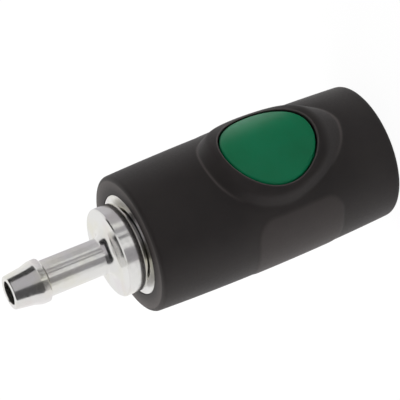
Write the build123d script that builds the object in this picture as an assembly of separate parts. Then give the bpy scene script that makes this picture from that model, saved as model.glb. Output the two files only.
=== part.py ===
from build123d import *
from math import cos, radians, sin, sqrt
import os

# Push-button quick coupling with a moulded composite cover and a barbed hose tail.
# Millimetres. The axis is Z, the mouth face is z = 0, the tail points to +Z and the button faces -Y.
# A name that ends in _r is a radius, one that ends in _z is a height above the mouth face.

# Fits
running_gap = 0.1
snug_gap = 0.05
contact_gap = 0.02

# Plug, latch and button travel: the sizes that the rest is built round
plug_bore_r = 6.1
latch_z = 26.9
latch_thickness = 6.0
latch_wall = 1.8
latch_bite = 1.5
latch_lead = 0.6
press_travel = 3.0
press_stop_gap = 0.25

# Latch's neck and head, which hang in the button
neck_width = 5.0
neck_length = 2.1
head_width = 8.4
head_thickness = 1.3
socket_wall = 1.8
socket_shelf = 1.2
socket_inset = 0.3

# Cover's barrel
cover_wall = 4.75
belly_z = 30.3
mouth_drop = 0.7
rear_drop = 0.75
mouth_edge_r = 0.9
rear_edge_r = 1.0
mouth_wall = 3.2
mouth_lip = 2.0

# Button opening, seen square on: an egg with its longer end towards the tail
opening_shift = 0.5
opening_half_width = 9.78
opening_to_tail = 11.17
opening_to_mouth = 10.28
opening_lip_r = 0.3

# Raised boss: three eggs, each given by how far it stands out from the opening, widest nearer the tail
crown_r = 15.2
crown_rise = 2.34
boss_shift = 1.0
boss_foot_angle = 58.5
boss_foot_depth = 1.03
boss_foot_tail = 6.83
boss_foot_mouth = 10.32
boss_waist_side = 1.2
boss_waist_tail = 5.03
boss_waist_mouth = 8.02
boss_top_rise = 0.31
boss_top_side = 0.42
boss_top_tail = 0.73
boss_top_mouth = 0.92
boss_base_fillet = 1.2
boss_top_fillet = 2.0

# Grip pads on the two flanks
pad_shift = 0.8
pad_length = 21.8
pad_width = 19.4
pad_corner_r = 4.5
pad_height = 0.12
pad_ramp = 0.9
pad_root = 0.05

# Push button
button_gap = 0.3
button_sink = 0.3
button_edge_r = 0.5
button_wall = 1.6
button_roof = 2.0
flange_width = 0.9
flange_thickness = 1.0

# Springs under the button
press_spring_offset = 6.0
press_spring_r = 2.2
press_spring_wire = 0.6
press_spring_turns = 4.5
press_pocket_depth = 1.2
press_pocket_gap = 0.25
spigot_r = 1.3
spigot_length = 1.2

# Inner body
body_wall = 2.6
chamber_wall = 3.2
body_chamfer = 0.5
rear_recess = 0.2
rear_dish = 0.35

# Mouth guide
guide_flange = 1.5
guide_inset = 0.5
guide_lead_wall = 1.1
guide_lead_depth = 2.4

# Seals
oring_wire = 1.56
oring_groove = 2.0
front_oring_inset = 5.1
rear_oring_inset = 11.4
backup_thickness = 0.8
plug_seal_length = 3.2
plug_seal_squeeze = 1.1
plug_seal_lip = 1.0

# Valve
nose_gap = 0.4
nose_length = 5.4
nose_edge = 0.5
seat_gap = 0.6
seat_thickness = 3.5
seat_lead = 0.6
cage_wall = 0.75
poppet_thickness = 2.2
valve_seal_inset = 0.4
valve_seal_width = 1.0
valve_seal_height = 1.0
skirt_wall = 1.3
skirt_hold = 1.6
port_inset = 0.4
port_length = 2.6
port_width = 4.2
port_count = 4
valve_travel = 5.0
valve_end_play = 0.3
valve_spring_gap = 0.2
valve_spring_wire = 0.8
valve_spring_turns = 6.5
spring_seat_thickness = 0.5
spring_seat_width = 2.9

# Snap ring that holds the inner body in the cover
snap_ring_inset = 3.8
snap_ring_thickness = 1.0
snap_ring_width = 1.6
snap_ring_depth = 0.9
snap_ring_opening = 40.0

# Hose tail
stem_r = 3.95
stem_wall = 1.38
stem_fillet = 2.2
barb_rise = 0.85
barb_tip_drop = 0.25
tip_round = 0.35
barb_length = 8.8
barb_step = 0.45
barb_land = 1.5
tail_reach = 27.85
collar_r = 9.8
collar_length = 4.2
collar_front_chamfer = 0.25
collar_back_chamfer = 0.35
collar_gap = 0.9
collar_floor = 0.9
undercut_depth = 0.5
undercut_length = 1.2
shank_wall = 1.45
gasket_thickness = 1.1
funnel_wall = 2.4
funnel_length = 3.4

# Radii, from the plug's bore outwards
far = 40.0
latch_hole_r = plug_bore_r + running_gap
latch_outer_r = latch_hole_r + latch_wall
lip_reach = plug_bore_r - latch_bite
body_r = latch_outer_r + press_travel + running_gap
cover_bore_r = body_r + running_gap
mouth_bore_r = cover_bore_r - mouth_lip
chamber_bore_r = body_r - body_wall
fitted_r = chamber_bore_r - snug_gap
shank_bore_r = fitted_r - shank_wall
skirt_r = shank_bore_r - running_gap
plug_seal_r = plug_bore_r - plug_seal_squeeze
valve_seal_r = skirt_r - valve_seal_inset
nose_r = plug_seal_r - nose_gap
seat_bore_r = nose_r + seat_gap
tail_bore_r = stem_r - stem_wall
barb_r = stem_r + barb_rise
snap_inner_r = body_r - snap_ring_depth
snap_outer_r = snap_inner_r + snap_ring_width
belly_r = cover_bore_r + cover_wall
mouth_r = belly_r - mouth_drop
rear_r = belly_r - rear_drop

# Heights above the axis, towards the button
crown_height = belly_r + crown_rise
crown_axis = crown_height - crown_r
button_axis = crown_axis - button_sink
ceiling_r = crown_r - button_roof
ceiling = button_axis + ceiling_r
under_axis = press_travel + press_stop_gap
pocket_floor = body_r - press_pocket_depth
latch_top = latch_outer_r + press_travel + running_gap
head_low = latch_top + neck_length
head_high = head_low + head_thickness

# Places along the axis, from the mouth to the tip
body_front_z = mouth_wall + running_gap + guide_flange + running_gap
front_oring_z = body_front_z + front_oring_inset
opening_z = latch_z - opening_shift
pad_z = opening_z - pad_shift
latch_low = latch_z - latch_thickness / 2
latch_high = latch_z + latch_thickness / 2
chamber_z = latch_high + chamber_wall
seal_low = chamber_z + backup_thickness + 2 * contact_gap
seat_low = seal_low + plug_seal_length + contact_gap
seat_face = seat_low + seat_thickness
valve_face = seat_face + snug_gap
poppet_back = valve_face + poppet_thickness
port_low = poppet_back + port_inset
shank_end = port_low + port_length + valve_travel + port_inset
cage_end = shank_end - gasket_thickness - 2 * contact_gap
skirt_end = shank_end + skirt_hold
spring_floor = skirt_end + valve_travel + valve_end_play + spring_seat_thickness
collar_low = spring_floor + collar_floor
collar_high = collar_low + collar_length
body_rear_z = collar_low - collar_gap
cover_length = body_rear_z + rear_recess
rear_oring_z = cover_length - rear_oring_inset
snap_low = cover_length - snap_ring_inset - snap_ring_thickness / 2
snap_high = snap_low + snap_ring_thickness
tip_z = cover_length + tail_reach
barb_z = tip_z - barb_length


def turned(*outline):
    """A solid turned about Z from corners and edges given as (radius, height)."""
    edges = []
    for i, piece in enumerate(outline):
        here = piece @ 1 if isinstance(piece, Edge) else Vector(*piece)
        after = outline[(i + 1) % len(outline)]
        there = after @ 0 if isinstance(after, Edge) else Vector(*after)
        if isinstance(piece, Edge):
            edges.append(piece)
        if (there - here).length > 1e-6:
            edges.append(Line(here, there))
    return revolve(Plane.YZ * make_face(Wire(edges)), Axis.Z)


def tube(outer_r, inner_r, low, high):
    return turned((inner_r, low), (outer_r, low), (outer_r, high), (inner_r, high))


def rod(radius, low, high, height=0.0):
    """A round bar along Z, its axis moved towards the button by height."""
    bar = Cylinder(radius, high - low, align=(Align.CENTER, Align.CENTER, Align.MIN))
    return Pos(0, -height, low) * bar


def block(width, low, high, z_low, z_high):
    """A box centred on the button's plane, from height low to height high."""
    size = (width, high - low, z_high - z_low)
    return Pos(0, -low, z_low) * Box(*size, align=(Align.CENTER, Align.MAX, Align.MIN))


def facing(height, z=opening_z):
    """A plane square to the button's travel, at a height above the coupling's axis."""
    return Plane(origin=(0, -height, z), x_dir=(1, 0, 0), z_dir=(0, -1, 0))


def pin(radius, low, high, z):
    """A round pin along the button's travel, from height low to height high."""
    return extrude(facing(low, z) * Circle(radius), high - low)


def egg(half_width, to_tail, to_mouth):
    tail_half = EllipticalCenterArc((0, 0), half_width, to_tail, 0, arc_size=180)
    mouth_half = EllipticalCenterArc((0, 0), half_width, to_mouth, 180, arc_size=180)
    return make_face(Wire([tail_half, mouth_half]))


def opening_prism(grow, low=0.0, high=far):
    """The opening's egg, larger all round by grow, carried along the button's travel."""
    outline = egg(opening_half_width + grow, opening_to_tail + grow, opening_to_mouth + grow)
    return extrude(facing(low) * outline, high - low)


def slot_prism(radius, centre_low, centre_high, low, high):
    """A long hole across the axis between two centres, given as heights, from z low to z high."""
    shape = SlotCenterToCenter(centre_high - centre_low, 2 * radius, rotation=90)
    middle = Pos(0, -(centre_low + centre_high) / 2, low)
    return extrude(middle * shape, high - low)


def coil(radius, wire, length, turns):
    """A round-wire spring of that outer radius, standing on z = 0."""
    run = length - wire
    line = Helix(pitch=run / turns, height=run, radius=radius - wire / 2, center=(0, 0, wire / 2))
    section = Plane(origin=line @ 0, z_dir=line % 0) * Circle(wire / 2)
    return sweep(section, path=line, is_frenet=True)


def side_arc(grow):
    """The barrel's side as one arc in (radius, height)."""
    return ThreePointArc((mouth_r + grow, 0), (belly_r + grow, belly_z), (rear_r + grow, cover_length))


def boss_egg(half_width, tail, mouth):
    """An egg that reaches beyond the opening's ends by tail and mouth."""
    to_tail = opening_to_tail + tail - boss_shift
    to_mouth = opening_to_mouth + mouth + boss_shift
    return Pos(0, boss_shift) * egg(half_width, to_tail, to_mouth)


def boss():
    """The skirt round the opening: three eggs lofted, cut off by the crown's round bar."""
    foot_r = belly_r - boss_foot_depth
    foot_half_width = foot_r * sin(radians(boss_foot_angle))
    foot_height = foot_r * cos(radians(boss_foot_angle))
    foot = boss_egg(foot_half_width, boss_foot_tail, boss_foot_mouth)
    waist = boss_egg(opening_half_width + boss_waist_side, boss_waist_tail, boss_waist_mouth)
    waist_height = crown_axis + sqrt(crown_r**2 - opening_half_width**2)
    top = boss_egg(opening_half_width + boss_top_side, boss_top_tail, boss_top_mouth)
    skirt = loft([
        facing(foot_height) * foot,
        facing(waist_height) * waist,
        facing(crown_height + boss_top_rise) * top,
    ])
    crown = rod(crown_r, 0, cover_length, crown_axis)
    cut = skirt & crown
    return fillet(new_edges(skirt, crown, combined=cut), boss_top_fillet)


def grip_pad(side):
    """A pad proud of one flank, with rounded corners and a gentle ramp all round that ends under the skin."""
    hidden = pad_root * pad_ramp / pad_height
    flank = Plane(origin=(side * cover_bore_r / 2, 0, pad_z), x_dir=(0, side, 0), z_dir=(side, 0, 0))
    outline = RectangleRounded(pad_width + 2 * hidden, pad_length + 2 * hidden, pad_corner_r)
    skin = turned((0, 0), side_arc(pad_height), (0, cover_length))
    pad = skin & extrude(flank * outline, far)
    top = pad.faces().filter_by(GeomType.PLANE, reverse=True).sort_by(SortBy.AREA)[-1]
    return chamfer(top.edges(), pad_ramp + hidden, pad_height + pad_root, reference=top)


def make_cover():
    barrel = turned((0, 0), side_arc(0), (0, cover_length))
    raised = boss()
    shell = barrel + raised
    shell = fillet(new_edges(barrel, raised, combined=shell), boss_base_fillet)
    rims = shell.edges().filter_by(GeomType.CIRCLE).sort_by(Axis.Z)
    shell = fillet(rims[0], mouth_edge_r)
    rims = shell.edges().filter_by(GeomType.CIRCLE).sort_by(Axis.Z)
    shell = fillet(rims[-1], rear_edge_r)
    shell += [grip_pad(1), grip_pad(-1)]
    opening = opening_prism(0)
    whole = shell
    shell = whole - opening
    rim = new_edges(whole, opening, combined=shell).filter_by_position(Axis.Y, -far, -cover_bore_r)
    shell = fillet(rim, opening_lip_r)
    shell -= rod(cover_bore_r, mouth_wall, cover_length)
    shell -= rod(mouth_bore_r, 0, mouth_wall)
    ledge = rod(body_r + flange_thickness + running_gap, 0, cover_length, under_axis)
    shell -= opening_prism(flange_width + running_gap) & ledge
    shell -= tube(snap_outer_r + running_gap, body_r, snap_low - snug_gap, snap_high + snug_gap)
    return shell


def make_button():
    column = opening_prism(-button_gap)
    crown = rod(crown_r, 0, cover_length, button_axis)
    cap = column & crown
    cap = fillet(new_edges(column, crown, combined=cap), button_edge_r)
    flange = rod(body_r + flange_thickness, 0, cover_length, under_axis)
    cap += opening_prism(flange_width, under_axis) & flange
    cap -= opening_prism(-button_gap - button_wall) & rod(ceiling_r, 0, cover_length, button_axis)
    cap -= rod(body_r, 0, cover_length, under_axis)
    socket_width = head_width + 2 * running_gap + 2 * socket_wall
    shelf_low = head_low - running_gap - socket_shelf
    cap += block(socket_width, shelf_low, ceiling, latch_low + socket_inset, latch_high - socket_inset)
    for z in (latch_z - press_spring_offset, latch_z + press_spring_offset):
        cap += pin(spigot_r, ceiling - spigot_length, ceiling, z)
    cap -= block(head_width + 2 * running_gap, head_low - running_gap, head_high + running_gap,
                 latch_low, latch_high)
    cap -= block(neck_width + 2 * running_gap, shelf_low, head_low, latch_low, latch_high)
    return cap


def make_latch():
    lip = latch_hole_r - lip_reach
    reach = press_travel + running_gap
    plate = slot_prism(latch_outer_r, 0, reach, latch_low, latch_high)
    plate -= slot_prism(latch_hole_r, lip, reach, latch_z, latch_high)
    plate -= slot_prism(latch_hole_r, 0, press_travel - lip, latch_low, latch_z)
    front_rim = plate.faces().sort_by(Axis.Z)[0].inner_wires()[0].edges()
    plate = chamfer(front_rim, latch_lead)
    plate += block(neck_width, latch_top - latch_wall / 2, head_low, latch_low, latch_high)
    plate += block(head_width, head_low, head_high, latch_low, latch_high)
    return plate


def press_spring(z):
    edge = button_axis + sqrt(ceiling_r**2 - press_spring_r**2)
    length = edge - pocket_floor - 2 * contact_gap
    spring = coil(press_spring_r, press_spring_wire, length, press_spring_turns)
    return facing(pocket_floor + contact_gap, z) * spring


def oring(z):
    return Pos(0, 0, z) * Torus(cover_bore_r - contact_gap - oring_wire / 2, oring_wire / 2)


def make_inner_body():
    front = body_front_z
    body = turned(
        (plug_bore_r + body_chamfer, front), (body_r - body_chamfer, front), (body_r, front + body_chamfer),
        (body_r, body_rear_z), (chamber_bore_r, body_rear_z - rear_dish),
        (chamber_bore_r, chamber_z), (plug_bore_r, chamber_z), (plug_bore_r, front + body_chamfer),
    )
    slot_width = 2 * (latch_outer_r + running_gap)
    body -= block(slot_width, -far, far, latch_low - running_gap, latch_high + running_gap)
    for z in (latch_z - press_spring_offset, latch_z + press_spring_offset):
        body -= pin(press_spring_r + press_pocket_gap, pocket_floor, far, z)
    groove_floor = cover_bore_r - oring_wire - snug_gap
    for z in (front_oring_z, rear_oring_z):
        body -= tube(far, groove_floor, z - oring_groove / 2, z + oring_groove / 2)
    body -= tube(far, snap_inner_r - snug_gap, snap_low - snug_gap, snap_high + snug_gap)
    return body


def make_mouth_guide():
    sleeve_r = mouth_bore_r - running_gap
    bore_r = plug_bore_r + running_gap
    flange_low = mouth_wall + running_gap
    flange_high = flange_low + guide_flange
    return turned(
        (mouth_bore_r - guide_lead_wall, guide_inset), (sleeve_r, guide_inset), (sleeve_r, flange_low),
        (body_r, flange_low), (body_r, flange_high), (bore_r, flange_high),
        (bore_r, guide_inset + guide_lead_depth),
    )


def make_plug_seal():
    """A cup seal: its lip opens towards the valve, where the pressure is."""
    high = seal_low + plug_seal_length
    half = (plug_seal_r + fitted_r) / 2
    return turned(
        (plug_seal_r + plug_seal_lip / 2, seal_low), (fitted_r, seal_low), (fitted_r, high),
        (half + plug_seal_lip / 2, high), (half, high - plug_seal_length / 2),
        (plug_seal_r + plug_seal_lip, high), (plug_seal_r, high - plug_seal_lip / 2),
        (plug_seal_r + plug_seal_lip / 2, high - plug_seal_length / 2),
    )


def make_valve_seat():
    """The seat ring and, in one piece with it, the cage that spaces it from the hose tail."""
    return turned(
        (seat_bore_r + seat_lead, seat_low), (fitted_r, seat_low), (fitted_r, cage_end),
        (fitted_r - cage_wall, cage_end), (fitted_r - cage_wall, seat_face),
        (seat_bore_r, seat_face), (seat_bore_r, seat_low + seat_lead),
    )


def make_valve():
    """A closed nose that the plug pushes, a sealing flange, and a skirt with ports that runs in the tail."""
    nose_low = valve_face - nose_length
    bore_r = skirt_r - skirt_wall
    piston = turned(
        (0, nose_low), (nose_r - nose_edge, nose_low), (nose_r, nose_low + nose_edge),
        (nose_r, valve_face), (skirt_r, valve_face), (skirt_r, skirt_end),
        (bore_r, skirt_end), (bore_r, poppet_back), (0, poppet_back),
    )
    port = Pos(0, 0, port_low) * Box(far, port_width, port_length, align=(Align.MIN, Align.CENTER, Align.MIN))
    for i in range(port_count):
        piston -= Rot(0, 0, i * 360 / port_count) * port
    piston -= tube(valve_seal_r, valve_seal_r - valve_seal_width, valve_face, valve_face + valve_seal_height)
    return piston


def make_snap_ring():
    ring = tube(snap_outer_r, snap_inner_r, snap_low, snap_high)
    half = radians(snap_ring_opening / 2)
    mouth = Polygon((0, 0), (far * sin(half), far * cos(half)), (-far * sin(half), far * cos(half)), align=None)
    return ring - extrude(Pos(0, 0, snap_low) * mouth, snap_ring_thickness)


def make_hose_tail():
    undercut_z = body_rear_z - undercut_length
    neck_r = fitted_r - undercut_depth
    front = collar_front_chamfer
    back = collar_back_chamfer
    root = (stem_r, collar_high + stem_fillet)
    foot = (stem_r + stem_fillet, collar_high)
    bend = stem_fillet * (1 - sqrt(0.5))
    stem_bend = ThreePointArc(foot, (stem_r + bend, collar_high + bend), root)
    tip_r = stem_r - barb_tip_drop
    nose = ThreePointArc(
        (tip_r, tip_z - tip_round),
        (tip_r - tip_round * (1 - sqrt(0.5)), tip_z - tip_round * (1 - sqrt(0.5))),
        (tip_r - tip_round, tip_z),
    )
    return turned(
        (shank_bore_r, shank_end), (fitted_r, shank_end), (fitted_r, undercut_z), (neck_r, undercut_z),
        (neck_r, collar_low), (collar_r - back, collar_low), (collar_r, collar_low + back),
        (collar_r, collar_high - front), (collar_r - front, collar_high), stem_bend,
        (stem_r, barb_z), (barb_r, barb_z + barb_step), (barb_r, barb_z + barb_step + barb_land), nose,
        (tail_bore_r, tip_z), (tail_bore_r, spring_floor + funnel_length), (shank_bore_r - funnel_wall, spring_floor),
        (shank_bore_r, spring_floor),
    )


nodes = {
    "cover": make_cover(),
    "push_button": make_button(),
    "latch_slide": make_latch(),
    "latch_spring_front": press_spring(latch_z - press_spring_offset),
    "latch_spring_rear": press_spring(latch_z + press_spring_offset),
    "inner_body": make_inner_body(),
    "mouth_guide": make_mouth_guide(),
    "front_oring": oring(front_oring_z),
    "rear_oring": oring(rear_oring_z),
    "snap_ring": make_snap_ring(),
    "seal_backup": tube(fitted_r, plug_bore_r, chamber_z + contact_gap, seal_low - contact_gap),
    "plug_seal": make_plug_seal(),
    "valve_seat": make_valve_seat(),
    "valve_piston": make_valve(),
    "valve_seal": tube(valve_seal_r - contact_gap, valve_seal_r - valve_seal_width + contact_gap,
                       seat_face + contact_gap, valve_face + valve_seal_height - contact_gap),
    "valve_spring": Pos(0, 0, poppet_back + contact_gap) * coil(
        skirt_r - skirt_wall - valve_spring_gap, valve_spring_wire,
        spring_floor - spring_seat_thickness - poppet_back - 4 * contact_gap, valve_spring_turns),
    "spring_seat": tube(skirt_r, skirt_r - spring_seat_width,
                        spring_floor - spring_seat_thickness - contact_gap, spring_floor - contact_gap),
    "tail_gasket": tube(fitted_r, shank_bore_r + snug_gap, cage_end + contact_gap, shank_end - contact_gap),
    "hose_tail": make_hose_tail(),
}

os.makedirs("parts", exist_ok=True)
for name, shape in nodes.items():
    shape.label = name
    export_step(shape, f"parts/{name}.step")
    print(name, len(shape.solids()), round(shape.volume, 1))
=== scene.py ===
import bpy
import numpy as np
from math import radians
from mathutils import Matrix, Vector


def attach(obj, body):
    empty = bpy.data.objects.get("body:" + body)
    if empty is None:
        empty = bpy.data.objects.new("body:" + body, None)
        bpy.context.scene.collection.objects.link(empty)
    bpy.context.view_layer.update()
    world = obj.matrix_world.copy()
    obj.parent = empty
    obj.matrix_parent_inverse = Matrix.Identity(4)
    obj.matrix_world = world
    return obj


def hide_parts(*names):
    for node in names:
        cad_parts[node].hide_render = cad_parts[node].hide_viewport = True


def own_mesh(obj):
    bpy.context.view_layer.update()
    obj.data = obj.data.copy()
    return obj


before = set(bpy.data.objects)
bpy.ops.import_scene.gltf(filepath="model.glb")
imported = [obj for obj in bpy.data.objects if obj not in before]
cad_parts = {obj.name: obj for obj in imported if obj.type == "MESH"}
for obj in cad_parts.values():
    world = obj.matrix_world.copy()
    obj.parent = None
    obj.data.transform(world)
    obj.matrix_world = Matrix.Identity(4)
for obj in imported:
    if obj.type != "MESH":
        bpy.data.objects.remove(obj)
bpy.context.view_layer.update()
mm = 0.001  # the sizes below are millimetres, Blender's are metres


def linear(hexColour):  # an sRGB hex value as the linear colour that the shaders take
    part = np.array([int(hexColour[i:i + 2], 16) for i in (1, 3, 5)]) / 255
    value = np.where(part <= 0.04045, part / 12.92, ((part + 0.055) / 1.055) ** 2.4)
    return (*[float(v) for v in value], 1.0)


def addNode(tree, kind, inputs=None, **settings):  # a node with its settings, its inputs given or linked
    node = tree.nodes.new(kind)
    for name, value in settings.items():
        setattr(node, name, value)
    for name, value in (inputs or {}).items():
        if isinstance(value, bpy.types.NodeSocket):
            tree.links.new(value, node.inputs[name])
        else:
            node.inputs[name].default_value = value
    return node


def emptyMaterial(name):
    made = bpy.data.materials.new(name)
    made.use_nodes = True
    made.node_tree.nodes.clear()
    return made, made.node_tree


def newMaterial(name):  # with its shader and its object coordinates in metres
    made, tree = emptyMaterial(name)
    shader = addNode(tree, "ShaderNodeBsdfPrincipled")
    addNode(tree, "ShaderNodeOutputMaterial", {"Surface": shader.outputs[0]})
    place = addNode(tree, "ShaderNodeTexCoord").outputs["Object"]
    return made, tree, shader, place


def setShader(shader, **values):
    for name, value in values.items():
        shader.inputs[name.replace("_", " ")].default_value = value


def addMesh(name, points, faces, material):  # points in metres
    mesh = bpy.data.meshes.new(name)
    mesh.from_pydata(points.tolist(), [], faces)
    mesh.materials.append(material)
    made = bpy.data.objects.new(name, mesh)
    bpy.context.scene.collection.objects.link(made)
    return made


def addPiece(name, points, faces, material, angle):  # points in millimetres, smooth up to that angle between faces
    made = addMesh(name, points * mm, faces, material)
    made.data.polygons.foreach_set("use_smooth", np.ones(len(faces), dtype=bool))
    made.data.set_sharp_from_angle(angle=radians(angle))
    made.data.update()
    return made


def gridQuads(index, wrapRows=False, wrapColumns=False):  # quads between neighbouring rows and columns of vertices
    if wrapRows:
        index = np.vstack([index, index[:1]])
    if wrapColumns:
        index = np.hstack([index, index[:, :1]])
    return np.stack([index[:-1, :-1], index[:-1, 1:], index[1:, 1:], index[1:, :-1]], axis=-1)


def arcPoints(centreR, centreZ, radius, start, end, count):  # points (r, z) on an arc, angles in degrees
    a = np.radians(np.linspace(start, end, count))
    return np.stack([centreR + radius * np.cos(a), centreZ + radius * np.sin(a)], axis=1)


def revolved(name, profile, segments, material, angle):
    # A closed profile of (r, z) points, listed outside upwards and inside downwards, turned about the axis:
    # x = r sin a, y = -r cos a for angles a all the way round.
    r, z = np.asarray(profile, dtype=float).T
    a = np.linspace(0, 2 * np.pi, segments, endpoint=False)
    points = np.stack([np.outer(r, np.sin(a)), -np.outer(r, np.cos(a)), np.outer(z, np.ones_like(a))], axis=-1)
    index = np.arange(points.shape[0] * segments).reshape(-1, segments)
    quads = gridQuads(index, wrapRows=True, wrapColumns=True).reshape(-1, 4)
    return addPiece(name, points.reshape(-1, 3), quads.tolist(), material, angle)


def noise(tree, place, size, detail=3.0, roughness=0.55):  # a noise whose grains are about that many mm across
    return addNode(tree, "ShaderNodeTexNoise", {
        "Vector": place, "Scale": 1 / (size * mm), "Detail": detail, "Roughness": roughness}).outputs["Fac"]


def spread(tree, value, low, high, fromLow=0.3, fromHigh=0.7):  # a value brought to the range from low to high
    return addNode(tree, "ShaderNodeMapRange", {
        "Value": value, "From Min": fromLow, "From Max": fromHigh, "To Min": low, "To Max": high}).outputs[0]


def mixColours(tree, value, first, second):  # each colour is a linked output or a linear value
    return addNode(tree, "ShaderNodeMix", {0: value, 6: first, 7: second}, data_type="RGBA").outputs[2]


def twoColours(tree, value, first, second):  # between two hex colours
    return mixColours(tree, value, linear(first), linear(second))


def bump(tree, height, depth, before=None):  # depth in millimetres
    inputs = {"Height": height, "Distance": depth * mm, "Strength": 1.0}
    if before is not None:
        inputs["Normal"] = before
    return addNode(tree, "ShaderNodeBump", inputs).outputs[0]


glassFilledNylon = {
    "dark": "#282424", "pale": "#2c2827", "litPadDark": "#373231", "litPadPale": "#3b3635", "highlightColour": "#5a5452",
    "grain": 0.45, "grainDepth": 0.01, "drift": 9.0, "roughness": (0.52, 0.6), "specular": 0.2,
}


def makeGlassFilledNylon():
    # Moulded in a spark-eroded tool: a fine matt grain that catches a soft grey sheen at a low angle. The pads are
    # painted a shade paler:
    # painted light for the brighter look they take where they face the light from below. The boss's foot, the
    # opening's lip and the rear
    # face are painted paler still: painted highlights for the light lines and the sheen that these edges catch.
    look = glassFilledNylon
    made, tree, shader, place = newMaterial("glassFilledNylon")
    drift = spread(tree, noise(tree, place, look["drift"], detail=2), 0, 1)
    grain = noise(tree, place, look["grain"], detail=2)
    padPaintedLight = addNode(tree, "ShaderNodeAttribute", attribute_name="padPaintedLight").outputs["Fac"]
    paintedHighlight = addNode(tree, "ShaderNodeAttribute", attribute_name="paintedHighlight").outputs["Fac"]
    body = twoColours(tree, drift, look["dark"], look["pale"])
    # painted light: the pads get a paler colour for the brighter look they take under the light from below
    litPad = twoColours(tree, drift, look["litPadDark"], look["litPadPale"])
    colour = mixColours(tree, padPaintedLight, body, litPad)
    # painted highlight: a pale colour on the lip, the boss's foot and the rear face, for the light they catch
    tree.links.new(mixColours(tree, paintedHighlight, colour, linear(look["highlightColour"])), shader.inputs["Base Color"])
    tree.links.new(spread(tree, grain, *look["roughness"]), shader.inputs["Roughness"])
    # the real grain of about 0.05 mm wouldn't show, so it is drawn ten times as coarse
    tree.links.new(bump(tree, grain, look["grainDepth"]), shader.inputs["Normal"])
    setShader(shader, IOR=1.53, Specular_IOR_Level=look["specular"])
    return made


greenAcetal = {
    "dark": "#006b44", "pale": "#00714a", "grain": 1.5, "drift": 7.0, "roughness": (0.36, 0.4), "specular": 0.25,
}


def makeGreenAcetal():
    # Moulded in a smooth tool: even in colour, with a satin, wax-like gloss.
    look = greenAcetal
    made, tree, shader, place = newMaterial("greenAcetal")
    drift = spread(tree, noise(tree, place, look["drift"], detail=2), 0, 1)
    grain = noise(tree, place, look["grain"], detail=2)
    tree.links.new(twoColours(tree, drift, look["dark"], look["pale"]), shader.inputs["Base Color"])
    tree.links.new(spread(tree, grain, *look["roughness"]), shader.inputs["Roughness"])
    setShader(shader, IOR=1.48, Specular_IOR_Level=look["specular"])
    return made


# The shares say how far the yellow and the pink go at most, and between which noise values they come in.
zincPlate = {
    "white": "#dddcda", "yellow": "#dcd9c8", "pink": "#d8ced2", "yellowPatch": 5.0, "pinkPatch": 7.0,
    "yellowShare": (0, 0.6, 0.45, 0.75), "pinkShare": (0, 0.5, 0.5, 0.75), "pinkShift": (0.03, 0.05, 0.02),
    "turning": 0.22, "turningDepth": 0.0016, "peel": 0.8, "peelDepth": 0.004, "roughness": (0.15, 0.24),
}


def makeZincPlatedSteel(name, look):
    # Turned steel with a bright chromated zinc coat: a soft mirror, faintly yellow and pink in patches, with fine tool
    # lines under a slightly uneven coat.
    made, tree, shader, place = newMaterial(name)
    patch = noise(tree, place, look["yellowPatch"], detail=2)
    moved = addNode(tree, "ShaderNodeVectorMath", {0: place, 1: look["pinkShift"]}, operation="ADD").outputs[0]
    other = noise(tree, moved, look["pinkPatch"], detail=2)
    warm = twoColours(tree, spread(tree, patch, *look["yellowShare"]), look["white"], look["yellow"])
    tinted = mixColours(tree, spread(tree, other, *look["pinkShare"]), warm, linear(look["pink"]))
    tree.links.new(tinted, shader.inputs["Base Color"])
    # tool lines run round the axis, so the noise reads the radius and the height only
    axes = addNode(tree, "ShaderNodeSeparateXYZ", {0: place}).outputs
    flat = addNode(tree, "ShaderNodeCombineXYZ", {0: axes[0], 1: axes[1]}).outputs[0]
    radius = addNode(tree, "ShaderNodeVectorMath", {0: flat}, operation="LENGTH").outputs["Value"]
    polar = addNode(tree, "ShaderNodeCombineXYZ", {0: radius, 2: axes[2]}).outputs[0]
    # the real feed of about 0.08 mm is drawn coarse enough to show
    lines = noise(tree, polar, look["turning"], detail=2, roughness=0.6)
    peel = noise(tree, place, look["peel"])
    tree.links.new(spread(tree, peel, *look["roughness"]), shader.inputs["Roughness"])
    turned = bump(tree, lines, look["turningDepth"])
    tree.links.new(bump(tree, peel, look["peelDepth"], before=turned), shader.inputs["Normal"])
    setShader(shader, Metallic=1.0)
    return made


# The materials inside, which differ in colour, in gloss and in the size and depth of their grain in millimetres.
innerLooks = {
    # pressed and tumbled: a dull grey
    "hardenedSteel": ("#77777a", "#8a8a8c", 0.8, (0.28, 0.4), 0.002, {"Metallic": 1.0}),
    # drawn wire and strip: smooth and slightly warm
    "springSteel": ("#8d8a85", "#a09d98", 0.5, (0.22, 0.32), 0.001, {"Metallic": 1.0}),
    # turned: bright yellow metal, a little tarnished
    "turnedBrass": ("#a5864a", "#c2a566", 1.5, (0.2, 0.3), 0.001, {"Metallic": 1.0}),
    # moulded: black with a soft sheen
    "nitrileRubber": ("#141414", "#1f1f1f", 0.6, (0.5, 0.65), 0.004, {"IOR": 1.52}),
    # turned: white and waxy
    "whiteFluoropolymer": ("#d8d7cf", "#e6e5de", 1.2, (0.35, 0.45), 0.002, {"IOR": 1.38}),
    # moulded: plain black, half matt
    "blackAcetal": ("#161617", "#222223", 0.7, (0.4, 0.5), 0.004, {"IOR": 1.48}),
}


def makeInnerMaterial(name, dark, pale, grain, roughness, depth, values):
    made, tree, shader, place = newMaterial(name)
    speck = noise(tree, place, grain)
    tree.links.new(twoColours(tree, spread(tree, speck, 0, 1), dark, pale), shader.inputs["Base Color"])
    tree.links.new(spread(tree, speck, *roughness), shader.inputs["Roughness"])
    tree.links.new(bump(tree, speck, depth), shader.inputs["Normal"])
    setShader(shader, **values)
    return made


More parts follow.
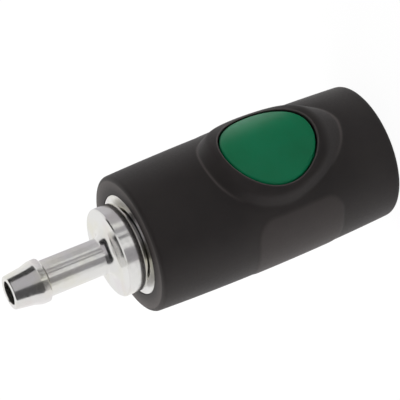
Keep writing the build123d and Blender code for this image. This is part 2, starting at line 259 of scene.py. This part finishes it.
coverPlastic = makeGlassFilledNylon()
buttonPlastic = makeGreenAcetal()
platedSteel = makeZincPlatedSteel("zincPlatedSteel", zincPlate)
duller = {**zincPlate, "white": "#e9e8e6", "roughness": (0.3, 0.4)}  # the same coat on a milled and tumbled body
innerMaterials = {name: makeInnerMaterial(name, *look) for name, look in innerLooks.items()}
innerMaterials["zincPlatedBody"] = makeZincPlatedSteel("zincPlatedBody", duller)
print("materials made")

nodeMaterials = {
    "inner_body": "zincPlatedBody", "mouth_guide": "blackAcetal", "latch_slide": "hardenedSteel",
    "latch_spring_front": "springSteel", "latch_spring_rear": "springSteel", "snap_ring": "springSteel",
    "front_oring": "nitrileRubber", "rear_oring": "nitrileRubber", "seal_backup": "whiteFluoropolymer",
    "plug_seal": "nitrileRubber", "valve_seat": "turnedBrass", "valve_piston": "turnedBrass",
    "valve_seal": "nitrileRubber", "valve_spring": "springSteel", "spring_seat": "hardenedSteel",
    "tail_gasket": "nitrileRubber",
}
for nodeName, materialName in nodeMaterials.items():
    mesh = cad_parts[nodeName].data
    mesh.materials.clear()
    mesh.materials.append(innerMaterials[materialName])

# The springs that would shorten as their joint moves: the joint, the spring's direction, its held end in metres, and
# the share of its length that is left when it is pressed. Here each only gets a mesh of its own.
springs = {
    "latch_spring_front": ("button_press", (0, 1, 0), (0, -0.00992, 0), 0.485),
    "latch_spring_rear": ("button_press", (0, 1, 0), (0, -0.00992, 0), 0.485),
    "valve_spring": ("valve_open", (0, 0, 1), (0, 0, 0.05815), 0.668),
}
for nodeName, (joint, axis, anchor, keep) in springs.items():
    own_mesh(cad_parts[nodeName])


# Angles are degrees from the button's side. Each entry of angles and heights is a mark with the number of steps to the
# next one. A power, crowding or share has no unit.
cover = {
    "mouthR": 15.25, "bellyR": 15.95, "bellyZ": 30.3, "rearR": 15.2, "length": 58.9,
    "mouthEdge": 0.9, "rearEdge": 1.0, "mouthBoreR": 9.2, "mouthWall": 3.2, "boreR": 11.2, "boreSoft": 0.12,
    "grooveR": 11.9, "grooveLow": 54.55, "grooveHigh": 55.65, "grooveRing": 0.8, "faceRing": 0.6,
    "openingZ": 26.4, "halfWidth": 9.78, "toTail": 11.17, "toMouth": 10.28, "lip": 0.3, "lipWall": 0.6,
    "crownR": 15.2, "crownAxis": 3.09, "ledgeR": 12.2, "ledgeAxis": 3.25, "ledgeGrow": 1.0,
    "bossZ": 27.4, "bossHeights": (7.8, 14.73, 18.6), "bossHalfWidths": (12.72, 10.98, 10.2),
    "bossToTail": (17.0, 15.2, 10.9), "bossToMouth": (21.6, 19.3, 12.2), "tailPower": 2.0, "mouthPower": 1.75,
    "bossTopBlend": 0.45, "bossFootBlend": 0.22, "bossSide": 80, "bossBelow": 2.0, "bossFarthest": 26.0,
    "padZ": 25.6, "padLength": 21.8, "padWidth": 19.4, "padCorner": 4.5, "padHeight": 0.12, "padRamp": 0.9,
    "angles": ((0, 32), (50, 18), (60, 30), (119, 18), (130, 25), (180, 0)),
    "heights": ((0.9, 16), (13.5, 18), (17, 24), (34.5, 18), (38, 26), (57.9, 0)),
    "patchAngle": 50, "patchLow": 4.6, "patchHigh": 47.0, "patchLoops": 48, "patchCrowding": 1.15,
    "lipLoops": 6, "footLoops": 8, "halvings": 30, "roundStart": 15, "roundPoints": 6, "smoothAngle": 40,
    "innerPatchAngle": 82, "innerPatchLow": 11.0, "innerPatchHigh": 42.5, "innerRows": (13, 10),
    "innerMargins": (0.4, 0.3),
}

# How strongly each edge gets a painted highlight, a paler colour that stands in for the light it catches. The boss's
# foot gets it within footWidth of it, and only near its tail and mouth ends. A point that is more than skin outside
# the bore is on the outer skin.
paintedEdgeHighlights = {
    "lip": 0.5, "foot": 0.55, "rear": 0.45, "footWidth": 0.22, "footSide": 75, "endSlope": 4.0, "endStart": 2.2,
    "faceDepth": 0.01, "skin": 1.5,
}


def threePointCircle(a, b, c):  # centre and radius of the circle through three points
    m = 2 * np.array([[b[0] - a[0], b[1] - a[1]], [c[0] - a[0], c[1] - a[1]]])
    v = np.array([b[0]**2 + b[1]**2 - a[0]**2 - a[1]**2, c[0]**2 + c[1]**2 - a[0]**2 - a[1]**2])
    centre = np.linalg.solve(m, v)
    return centre, np.hypot(a[0] - centre[0], a[1] - centre[1])


def throughThree(h, heights, values):  # the parabola through three values at three heights
    (h0, h1, h2), (v0, v1, v2) = heights, values
    return (v0 * (h - h1) * (h - h2) / ((h0 - h1) * (h0 - h2))
            + v1 * (h - h0) * (h - h2) / ((h1 - h0) * (h1 - h2))
            + v2 * (h - h0) * (h - h1) / ((h2 - h0) * (h2 - h1)))


def blendMax(a, b, width):  # the larger of two, rounded where they come within that width
    near = np.clip(width - np.abs(a - b), 0, None) / width
    return np.maximum(a, b) + near**2 * width / 4


def blendMin(a, b, width):
    return -blendMax(-a, -b, width)


def barrelRadius(z):
    c = cover
    centre, radius = threePointCircle((c["mouthR"], 0), (c["bellyR"], c["bellyZ"]), (c["rearR"], c["length"]))
    return centre[0] + np.sqrt(radius**2 - (z - centre[1])**2)


def crownRadius(angle):  # from the coupling's axis to a round bar whose axis is moved towards the button
    c = cover
    across = c["crownAxis"] * np.sin(angle)
    return c["crownAxis"] * np.cos(angle) + np.sqrt(np.clip(c["crownR"]**2 - across**2, 0, None))


def skirtRadius(angle, z):
    # The boss's skirt is an egg at each height. The radius at which a ray leaves it is found by halving an interval.
    c = cover
    low = np.zeros_like(angle)
    high = np.full_like(angle, c["bossFarthest"])
    for _ in range(c["halvings"]):
        r = (low + high) / 2
        h = np.clip(r * np.cos(angle), c["bossHeights"][0] - c["bossBelow"], None)
        width = throughThree(h, c["bossHeights"], c["bossHalfWidths"])
        tail = throughThree(h, c["bossHeights"], c["bossToTail"])
        mouth = throughThree(h, c["bossHeights"], c["bossToMouth"])
        along = z - c["bossZ"]
        power = np.where(along > 0, c["tailPower"], c["mouthPower"])
        reach = np.where(along > 0, tail, mouth)
        inside = np.abs(r * np.sin(angle) / width)**power + np.abs(along / reach)**power < 1
        low = np.where(inside & (width > 0), r, low)
        high = np.where(inside & (width > 0), high, r)
    return low


def bossRadius(angle, z):  # the skirt, cut off by the round crown
    return blendMin(crownRadius(angle), skirtRadius(angle, z), cover["bossTopBlend"])


def padRise(angle, z):
    # Height of the flank pads: a rounded rectangle seen from the side, its rim ramped with a soft top and foot.
    c = cover
    y = -barrelRadius(z) * np.cos(angle)
    dy = np.abs(y) - (c["padWidth"] / 2 - c["padCorner"])
    dz = np.abs(z - c["padZ"]) - (c["padLength"] / 2 - c["padCorner"])
    out = np.hypot(np.clip(dy, 0, None), np.clip(dz, 0, None)) + np.minimum(np.maximum(dy, dz), 0)
    depth = np.clip((c["padCorner"] - out) / c["padRamp"], 0, 1)
    return c["padHeight"] * (0.5 * depth + 0.5 * depth**2 * (3 - 2 * depth))


def coverRadius(angle, z):
    # The outer skin in polar form: the bellied barrel, the boss on the button's side of it, and the pads.
    boss = np.where(np.abs(angle) < radians(cover["bossSide"]), bossRadius(angle, z), 0)
    return blendMax(barrelRadius(z), boss, cover["bossFootBlend"]) + padRise(angle, z)


def polarPoints(r, angle, z):
    return np.stack([r * np.sin(angle), -r * np.cos(angle), z + 0 * r], axis=-1)


def turnOf(points):  # the angle round the axis, from the button's side
    return np.arctan2(points[:, 0], -points[:, 1])


def eggPoints(phase, grow):  # across and along the coupling, from the egg's middle, grown all round
    c = cover
    along = np.where(np.sin(phase) > 0, c["toTail"] + grow, c["toMouth"] + grow)
    return (c["halfWidth"] + grow) * np.cos(phase), along * np.sin(phase)


def eggLoop(phase, grow, barR, barAxis, scale=1.0):  # the grown and scaled egg, laid on a round bar
    x, dz = (part * scale for part in eggPoints(phase, grow))
    return np.stack([x, -(barAxis + np.sqrt(barR**2 - x**2)), cover["openingZ"] + dz], axis=-1)


def steps(marks):  # values from mark to mark, each with the number of steps up to the next
    return np.concatenate([np.linspace(a, b, n, endpoint=False) for (a, n), (b, _) in zip(marks, marks[1:])])


def nearest(values, value):
    return int(np.argmin(np.abs(values - value)))


def makeCover():
    # One closed grid of rings round the axis (outside, rear face, bore, mouth face) with a rectangle left out of its
    # outer and of its inner skin, and one grid that runs from one rectangle's edge over the opening's rim to the
    # other's.
    c = cover
    side = steps(c["angles"])  # finer steps where the pads' ramps are
    angle = np.radians(np.concatenate([[-180], -side[:0:-1], side]))
    rows = np.append(steps(c["heights"]), c["heights"][-1][0])
    left, right = (nearest(angle, radians(a)) for a in (-c["patchAngle"], c["patchAngle"]))
    lowRow, highRow = (nearest(rows, c[key]) for key in ("patchLow", "patchHigh"))
    patchRows = highRow - lowRow

    # The inner skin has its own rows and, round its rectangle, its columns drawn apart: the button's flange reaches
    # further round the bore than the opening does outside. The columns come back to their places above and below.
    above, below = c["innerRows"]
    boreFoot, boreTop = c["mouthWall"] + c["innerMargins"][0], c["grooveLow"] - c["innerMargins"][1]
    innerZ = np.concatenate([
        np.linspace(boreTop, c["innerPatchHigh"], above, endpoint=False),
        np.linspace(c["innerPatchHigh"], c["innerPatchLow"], patchRows, endpoint=False),
        np.linspace(c["innerPatchLow"], boreFoot, below)])

    rearEdge, mouthEdge, soft, faceRing = (c[key] for key in ("rearEdge", "mouthEdge", "boreSoft", "faceRing"))
    start, count = c["roundStart"], c["roundPoints"]
    rearLine = c["length"] - rearEdge
    rearRound = arcPoints(barrelRadius(rearLine) - rearEdge, rearLine, rearEdge, start, 90, count)
    mouthRound = arcPoints(barrelRadius(mouthEdge) - mouthEdge, mouthEdge, mouthEdge, -90, -start, count)
    rear = [
        *rearRound, (c["boreR"] + faceRing, c["length"]), (c["boreR"] + soft, c["length"]),
        (c["boreR"], c["length"] - soft), (c["boreR"], c["grooveHigh"] + c["grooveRing"]),
        (c["boreR"], c["grooveHigh"]), (c["grooveR"], c["grooveHigh"]), (c["grooveR"], c["grooveLow"]),
        (c["boreR"], c["grooveLow"])]
    mouth = [
        (c["boreR"], c["mouthWall"]), (c["mouthBoreR"], c["mouthWall"]), (c["mouthBoreR"], soft),
        (c["mouthBoreR"] + soft, 0), (c["mouthBoreR"] + faceRing, 0), *mouthRound]
    ring = np.array([*((0, z) for z in rows), *rear, *((c["boreR"], z) for z in innerZ), *mouth])
    r, z = ring[:, [0]] + 0 * angle, ring[:, [1]] + 0 * angle
    innerStart = len(rows) + len(rear)
    wideMarks = [0, radians(c["innerPatchAngle"]), np.pi]
    wide = np.sign(angle) * np.interp(np.abs(angle), [0, angle[right], np.pi], wideMarks)
    share = np.zeros(len(ring))
    share[innerStart:innerStart + len(innerZ)] = np.interp(
        innerZ, [boreFoot, c["innerPatchLow"], c["innerPatchHigh"], boreTop], [0, 1, 1, 0])
    turn = angle + share[:, None] * (wide - angle)
    r[:len(rows)] = coverRadius(turn[:len(rows)], z[:len(rows)])
    ringPoints = polarPoints(r, turn, z).reshape(-1, 3)
    index = np.arange(r.size).reshape(r.shape)

    innerHigh = innerStart + above
    innerLow = innerHigh + patchRows
    quads = gridQuads(index, wrapRows=True, wrapColumns=True)
    kept = np.ones(quads.shape[:2], dtype=bool)
    kept[lowRow:highRow, left:right] = False
    kept[innerHigh:innerLow, left:right] = False

    def rectangle(firstRow, step):  # vertices round it: the mouth side, then up at +x, the tail side and down
        across = np.arange(left, right)
        up = firstRow + step * np.arange(patchRows)
        return np.concatenate([
            index[firstRow, across], index[up, right],
            index[firstRow + step * patchRows, across[::-1] + 1], index[up[::-1] + step, left]])

    outerEdge, innerEdge = rectangle(lowRow, 1), rectangle(innerLow, -1)
    outerTurn, outerZ = turnOf(ringPoints[outerEdge]), ringPoints[outerEdge, 2]
    innerTurn, innerEdgeZ = turnOf(ringPoints[innerEdge]), ringPoints[innerEdge, 2]
    along = outerZ - c["openingZ"]
    reach = np.where(along > 0, c["toTail"], c["toMouth"])
    phase = np.arctan2(along / reach, outerTurn * c["bellyR"] / c["halfWidth"])

    rim = eggLoop(phase, c["lip"], c["crownR"], c["crownAxis"])
    rimTurn = turnOf(rim)
    loops = []
    for t in np.linspace(1, 0, c["patchLoops"] + 1)[1:-1]:
        near = t**c["patchCrowding"]  # the loops lie closer together towards the rim
        loopTurn = rimTurn + (outerTurn - rimTurn) * near
        loopZ = rim[:, 2] + (outerZ - rim[:, 2]) * near
        loops.append(polarPoints(coverRadius(loopTurn, loopZ), loopTurn, loopZ))
    for a in np.radians(np.linspace(0, 90, c["lipLoops"])):
        base = eggLoop(phase, c["lip"] * (1 - np.sin(a)), c["crownR"], c["crownAxis"])
        loopTurn = turnOf(base)
        surface = polarPoints(coverRadius(loopTurn, base[:, 2]), loopTurn, base[:, 2])
        surface[:, 0] = base[:, 0]
        surface[:, 1] += c["lip"] * (1 - np.cos(a))
        loops.append(surface)
    loops.append(loops[-1] + [0, c["lipWall"], 0])
    for grow in (0, c["ledgeGrow"] / 2, c["ledgeGrow"]):
        loops.append(eggLoop(phase, grow, c["ledgeR"], c["ledgeAxis"]))
    foot = eggLoop(phase, c["ledgeGrow"], c["boreR"], 0)
    loops.append(foot)
    footTurn = turnOf(foot)
    for t in np.linspace(0, 1, c["footLoops"])[1:-1]:
        loopTurn = footTurn + (innerTurn - footTurn) * t
        loopZ = foot[:, 2] + (innerEdgeZ - foot[:, 2]) * t
        loops.append(polarPoints(np.full_like(loopTurn, c["boreR"]), loopTurn, loopZ))

    loopIndex = index.size + np.arange(len(loops) * len(phase)).reshape(len(loops), -1)
    tube = gridQuads(np.vstack([outerEdge, loopIndex, innerEdge]), wrapColumns=True).reshape(-1, 4)
    points = np.vstack([ringPoints, *loops])
    faces = np.vstack([quads[kept], tube]).tolist()
    made = addPiece("cover_shell", points, faces, coverPlastic, c["smoothAngle"])
    lipStart = index.size + (c["patchLoops"] - 1) * len(phase)
    markPaintedLight(made, points, slice(lipStart, lipStart + (c["lipLoops"] - 1) * len(phase)))
    return made


def markPaintedLight(made, points, lipVertices):
    # Writes what the cover's material reads: where the pads' raised faces are, which it paints paler as painted light,
    # and how strongly each edge gets a painted highlight.
    c = cover
    turn, z = turnOf(points), points[:, 2]
    outside = np.hypot(points[:, 0], points[:, 1]) > c["boreR"] + paintedEdgeHighlights["skin"]
    # painted light: the share of the paler pad colour, from the pads' raised faces
    padLightShare = np.where(outside, padRise(turn, z) / c["padHeight"], 0)
    apart = (bossRadius(turn, z) - barrelRadius(np.clip(z, 0, c["length"]))) / paintedEdgeHighlights["footWidth"]
    reach = np.where(z > c["bossZ"], c["bossToTail"][0], c["bossToMouth"][0])
    ends = np.clip(np.abs(z - c["bossZ"]) / reach * paintedEdgeHighlights["endSlope"] - paintedEdgeHighlights["endStart"], 0, 1)
    # painted highlight along the boss's foot, for the thin light line where it meets the barrel
    foot = paintedEdgeHighlights["foot"] * np.exp(-apart**2) * ends * (np.abs(turn) < radians(paintedEdgeHighlights["footSide"])) * outside
    # painted sheen on the rear face, for the grazing reflection it shows
    rearSheen = paintedEdgeHighlights["rear"] * (z > c["length"] - paintedEdgeHighlights["faceDepth"]) * outside
    lipHighlight = np.zeros(len(points))
    # painted highlight on the opening's lip
    lipHighlight[lipVertices] = paintedEdgeHighlights["lip"]
    for name, values in {"padPaintedLight": padLightShare, "paintedHighlight": np.maximum(np.maximum(lipHighlight, foot), rearSheen)}.items():
        made.data.attributes.new(name, "FLOAT", "POINT").data.foreach_set("value", values.astype(np.float32))


coverShell = makeCover()
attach(coverShell, "coupling")
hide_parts("cover")
print("cover made,", len(coverShell.data.polygons), "faces")


button = {
    "crownR": 15.2, "crownAxis": 2.79, "gap": 0.3, "edge": 0.5, "wall": 1.6, "roof": 2.0,
    "flange": 0.9, "flangeR": 12.1, "flangeFootR": 11.14, "flangeAxis": 3.25,
    "columns": 96, "rings": 14, "edgeRings": 8, "footRings": 9, "ceilingRings": 8,
    "smoothAngle": 40,
}


def makeButton():
    # Rings of the opening's egg, from the middle of the crown outwards, then over the rounded edge, down the side,
    # round the flange and back to the middle of the ceiling inside. A pole closes each end.
    b = button
    phase = np.linspace(0, 2 * np.pi, b["columns"], endpoint=False)
    within = -b["gap"] - b["wall"]
    ceilingR = b["crownR"] - b["roof"]
    loops = []
    for t in np.linspace(0, 1, b["rings"] + 1)[1:]:
        loops.append(eggLoop(phase, -b["gap"] - b["edge"], b["crownR"], b["crownAxis"], t))
    for a in np.radians(np.linspace(0, 90, b["edgeRings"] + 1))[1:]:
        flat = eggLoop(phase, -b["gap"] - b["edge"] * (1 - np.sin(a)), b["crownR"], b["crownAxis"])
        loops.append(flat + np.array([0, b["edge"] * (1 - np.cos(a)), 0]))
    for grow in (-b["gap"], b["flange"]):
        loops.append(eggLoop(phase, grow, b["flangeR"], b["flangeAxis"]))
    for grow in np.linspace(b["flange"], within, b["footRings"]):
        loops.append(eggLoop(phase, grow, b["flangeFootR"], b["flangeAxis"]))
    for t in np.linspace(1, 0, b["ceilingRings"] + 1)[:-1]:
        loops.append(eggLoop(phase, within, ceilingR, b["crownAxis"], t))
    poles = [[0, -(b["crownAxis"] + r), cover["openingZ"]] for r in (b["crownR"], ceilingR)]
    index = np.arange(len(loops) * len(phase)).reshape(len(loops), -1)
    first, last = index[0], index[-1]
    faces = gridQuads(index, wrapColumns=True).reshape(-1, 4)[:, ::-1].tolist()
    faces += np.stack([np.full_like(first, index.size), first, np.roll(first, -1)], axis=1).tolist()
    faces += np.stack([np.full_like(last, index.size + 1), np.roll(last, -1), last], axis=1).tolist()
    return addPiece("button_cap", np.vstack([*loops, poles]), faces, buttonPlastic, b["smoothAngle"])


buttonCap = makeButton()
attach(buttonCap, "button")
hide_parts("push_button")
print("button made")


# The names that end in Ring are only rings between two edges, so that the shading is even.
tail = {
    "shankR": 8.45, "shankBoreR": 7.0, "shankEnd": 51.31, "shankRing": 54, "neckR": 7.95, "undercutZ": 57.5,
    "collarR": 9.8, "collarLow": 59.6, "collarHigh": 63.8, "collarRing": 61.3, "frontChamfer": 0.25,
    "backChamfer": 0.35, "backRound": 0.3, "edgeRing": 0.3, "backRing": 0.4, "faceRing": 7.5,
    "stemR": 3.95, "fillet": 2.2, "stemRing": 70, "barbZ": 78.75, "barbR": 4.75, "barbStep": 0.45, "barbLand": 1.5,
    "barbRound": (0.12, 0.1), "landRing": (0.02, 0.2), "noseRing": (4.2, 82.7),
    "tipZ": 86.75, "tipR": 3.7, "tipRound": 0.35, "boreR": 2.57, "boreRing": 75, "boreChamfer": 0.15,
    "funnelZ": 58.7, "funnelR": 4.6, "funnelLength": 3.4, "segments": 144,
    "bendPoints": 12, "noseStart": 8, "nosePoints": 6, "smoothAngle": 25,
}


def makeHoseTail():
    t = tail
    front, back, high, low = t["frontChamfer"], t["backChamfer"], t["collarHigh"], t["collarLow"]
    crest = t["barbZ"] + t["barbStep"]
    land = crest + t["barbLand"]
    (roundR, roundZ), (landR, landZ) = t["barbRound"], t["landRing"]
    bend = arcPoints(t["stemR"] + t["fillet"], high + t["fillet"], t["fillet"], 270, 180, t["bendPoints"])
    tip = t["tipRound"]
    nose = arcPoints(t["tipR"] - tip, t["tipZ"] - tip, tip, t["noseStart"], 90, t["nosePoints"])
    profile = [
        (t["shankR"], t["shankEnd"]), (t["shankR"], t["shankRing"]), (t["shankR"], t["undercutZ"]),
        (t["neckR"], t["undercutZ"]), (t["neckR"], low), (t["collarR"] - back - t["backRing"], low),
        (t["collarR"] - back, low), (t["collarR"] - back * t["backRound"], low + back * t["backRound"]),
        (t["collarR"], low + back), (t["collarR"], t["collarRing"]), (t["collarR"], high - front - t["edgeRing"]),
        (t["collarR"], high - front), (t["collarR"] - front, high), (t["collarR"] - front - t["edgeRing"], high),
        (t["faceRing"], high), *bend, (t["stemR"], t["stemRing"]), (t["stemR"], t["barbZ"] - t["backRing"]),
        (t["stemR"], t["barbZ"]), (t["barbR"] - roundR, crest - roundZ), (t["barbR"], crest + roundZ),
        (t["barbR"], land - t["edgeRing"]), (t["barbR"] - landR, land + landZ), t["noseRing"], *nose,
        (t["boreR"] + t["boreChamfer"], t["tipZ"]), (t["boreR"], t["tipZ"] - t["boreChamfer"]),
        (t["boreR"], t["boreRing"]), (t["boreR"], t["funnelZ"] + t["funnelLength"]), (t["funnelR"], t["funnelZ"]),
        (t["shankBoreR"], t["funnelZ"]), (t["shankBoreR"], t["shankEnd"]),
    ]
    return revolved("hose_tail_turned", profile, t["segments"], platedSteel, t["smoothAngle"])


hoseTail = makeHoseTail()
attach(hoseTail, "coupling")
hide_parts("hose_tail")
print("hose tail made")


studio = {
    "cameraPlace": (-0.19107, -0.30475, 0.17959), "lens": 162.0, "sensor": 36.0, "farthest": 100.0,
    "right": (-0.49379, -0.08268, -0.86564), "up": (0.70982, -0.61333, -0.34634),
    "back": (-0.50228, -0.78546, 0.36156),
    "centre": (0.0, 0.0, 0.043), "floorSize": 6.0, "floorShadow": 0.05, "floorColour": "#f4f4f4",
    "worldStrength": 0.9, "cardColour": (0.98, 0.96, 1, 1), "cardColumns": 13,
    # Start and end in degrees, inner and outer radius, low and high edge in metres, strength, and whether it shades.
    # Each stands for something that the bright metal or the plastic mirrors.
    "sectors": (
        (-40, 90, 0.03, 0.14, 0.001, 0.001, 0.02),  # the dark table under the cover and the button
        (100, 180, 0.14, 0.29, 0.001, 0.001, 0.62), (62, 100, 0.14, 0.29, 0.001, 0.001, 0.5),  # greys on the tail
        (35, 50, 0.14, 0.29, 0.001, 0.001, 0.45), (20, 28, 0.14, 0.29, 0.001, 0.001, 0.2),  # streaks along the stem
        (-42, -5, 0.14, 0.29, 0.001, 0.001, 0.42),
        (-60, -5, 0.3, 0.3, 0.001, 0.22, 0.1), (-5, 60, 0.3, 0.3, 0.05, 0.22, 0.55),  # walls for the barb's cone
        (5, 60, 0.3, 0.3, 0.001, 0.03, 0.03),
        (-65, 65, 1.5, 1.5, 0.001, 3.0, 0.02, True)),  # the dark room behind the camera
    # places from the object's middle to the camera's right, up and back, then the side in metres and the strength
    "upperCard": ((-0.5, 0.5, 0.45), 1.1, 0.03),
    "lamps": {
        "softboxBehind": ((-0.55, 0.6, -0.35), 1.0, 5.0), "fillBelow": ((-0.2, -0.85, -0.4), 1.0, 10.0),
        "fillLeft": ((-0.65, -0.27, -0.7), 1.5, 18.0), "fillFront": ((-0.2, 0.6, 0.75), 1.0, 9.0)},
}
sideways, upwards, backwards = (np.array(studio[k]) for k in ("right", "up", "back"))
centre = np.array(studio["centre"])


def rayFactor(tree):  # 1 for what the camera sees directly, in a reflection or through glass
    path = addNode(tree, "ShaderNodeLightPath").outputs
    seen = addNode(tree, "ShaderNodeMath", {0: path["Is Camera Ray"], 1: path["Is Glossy Ray"]}, operation="ADD")
    both = {0: seen.outputs[0], 1: path["Is Transmission Ray"]}
    return addNode(tree, "ShaderNodeMath", both, operation="ADD", use_clamp=True).outputs[0]


def makeWorld():
    world = bpy.data.worlds.new("studioWorld")
    world.use_nodes = True
    tree = world.node_tree
    tree.nodes.clear()
    light = {"Color": (1, 1, 1, 1), "Strength": studio["worldStrength"]}
    soft = addNode(tree, "ShaderNodeBackground", light).outputs[0]
    white = addNode(tree, "ShaderNodeBackground", {"Color": (1, 1, 1, 1), "Strength": 1.0}).outputs[0]
    mix = addNode(tree, "ShaderNodeMixShader", {"Fac": rayFactor(tree), 1: soft, 2: white}).outputs[0]
    addNode(tree, "ShaderNodeOutputWorld", {"Surface": mix})
    bpy.context.scene.world = world


def makeFloor():
    # White to the camera and to reflections, apart from the small share of real paint that holds the shadow.
    made, tree = emptyMaterial("paleFloor")
    paint = addNode(tree, "ShaderNodeBsdfDiffuse", {"Color": linear(studio["floorColour"])}).outputs[0]
    white = addNode(tree, "ShaderNodeEmission", {"Color": (1, 1, 1, 1), "Strength": 1.0}).outputs[0]
    factor = {0: rayFactor(tree), 1: 1 - studio["floorShadow"]}
    share = addNode(tree, "ShaderNodeMath", factor, operation="MULTIPLY").outputs[0]
    mix = addNode(tree, "ShaderNodeMixShader", {"Fac": share, 1: paint, 2: white}).outputs[0]
    addNode(tree, "ShaderNodeOutputMaterial", {"Surface": mix})
    corners = np.array([(-1, -1, 0), (1, -1, 0), (1, 1, 0), (-1, 1, 0)]) * studio["floorSize"] / 2
    floor = addMesh("floor", corners, [(0, 1, 2, 3)], made)


def facingCentre(place):  # a matrix at a place, its -z axis on the object's middle
    spot = Vector(place.tolist())
    turn = (Vector(centre.tolist()) - spot).to_track_quat("-Z", "Y")
    return Matrix.LocRotScale(spot, turn, None)


def fromCamera(right, up, back):  # a place given from the object's middle along the camera's own directions
    return centre + right * sideways + up * upwards + back * backwards


def addCard(name, points, strength, shades=False):  # two rows of points; only reflections see it, or it also shades
    material, tree = emptyMaterial(name)
    light = {"Color": studio["cardColour"], "Strength": strength}
    glow = addNode(tree, "ShaderNodeEmission", light).outputs[0]
    addNode(tree, "ShaderNodeOutputMaterial", {"Surface": glow})
    quads = gridQuads(np.arange(len(points)).reshape(2, -1)).reshape(-1, 4)
    card = addMesh(name, points, quads.tolist(), material)
    card.visible_camera = card.visible_transmission = False
    card.visible_diffuse = card.visible_shadow = shades


def addSector(name, start, end, inner, outer, low, high, strength, shades=False):
    # A sector that runs from the inner radius at the low height to the outer one at the high height: flat on the floor
    # or a curved wall. Its angles are counted in degrees from the camera's side towards the picture's top.
    a = np.radians(np.linspace(start, end, studio["cardColumns"])) + np.arctan2(backwards[1], backwards[0])
    edges = [np.stack([r * np.cos(a), r * np.sin(a), np.full_like(a, z)], axis=1)
             for r, z in ((inner, low), (outer, high))]
    addCard(name, np.vstack(edges), strength, shades)


def addSquareCard(name, place, side, strength):
    corners = np.array([(-side, -side, 0), (side, -side, 0), (-side, side, 0), (side, side, 0)]) / 2
    matrix = np.array(facingCentre(place))
    addCard(name, corners @ matrix[:3, :3].T + matrix[:3, 3], strength, shades=True)


def addSoftbox(name, place, side, power):
    light = bpy.data.lights.new(name, "AREA")
    light.shape = "RECTANGLE"
    light.size, light.size_y = side, side
    light.energy = power
    made = bpy.data.objects.new(name, light)
    made.matrix_world = facingCentre(place)
    made.visible_glossy = False  # seen in the metal, it would add to the white behind it and burn out
    bpy.context.scene.collection.objects.link(made)


def makeCamera():
    data = bpy.data.cameras.new("camera")
    data.lens = studio["lens"]
    data.sensor_width = studio["sensor"]
    data.clip_end = studio["farthest"]
    camera = bpy.data.objects.new("camera", data)
    matrix = np.eye(4)
    matrix[:3] = np.stack([sideways, upwards, backwards, studio["cameraPlace"]], axis=1)
    camera.matrix_world = Matrix(matrix.tolist())
    bpy.context.scene.collection.objects.link(camera)
    bpy.context.scene.camera = camera


makeWorld()
makeFloor()
makeCamera()
for number, card in enumerate(studio["sectors"]):
    addSector("darkCard" + str(number), *card)
cardPlace, cardSide, cardStrength = studio["upperCard"]
addSquareCard("cardUpperLeft", fromCamera(*cardPlace), cardSide, cardStrength)
for lampName, (lampPlace, lampSide, lampPower) in studio["lamps"].items():
    addSoftbox(lampName, fromCamera(*lampPlace), lampSide, lampPower)
bpy.context.scene.view_settings.view_transform = "Standard"
print("studio made")
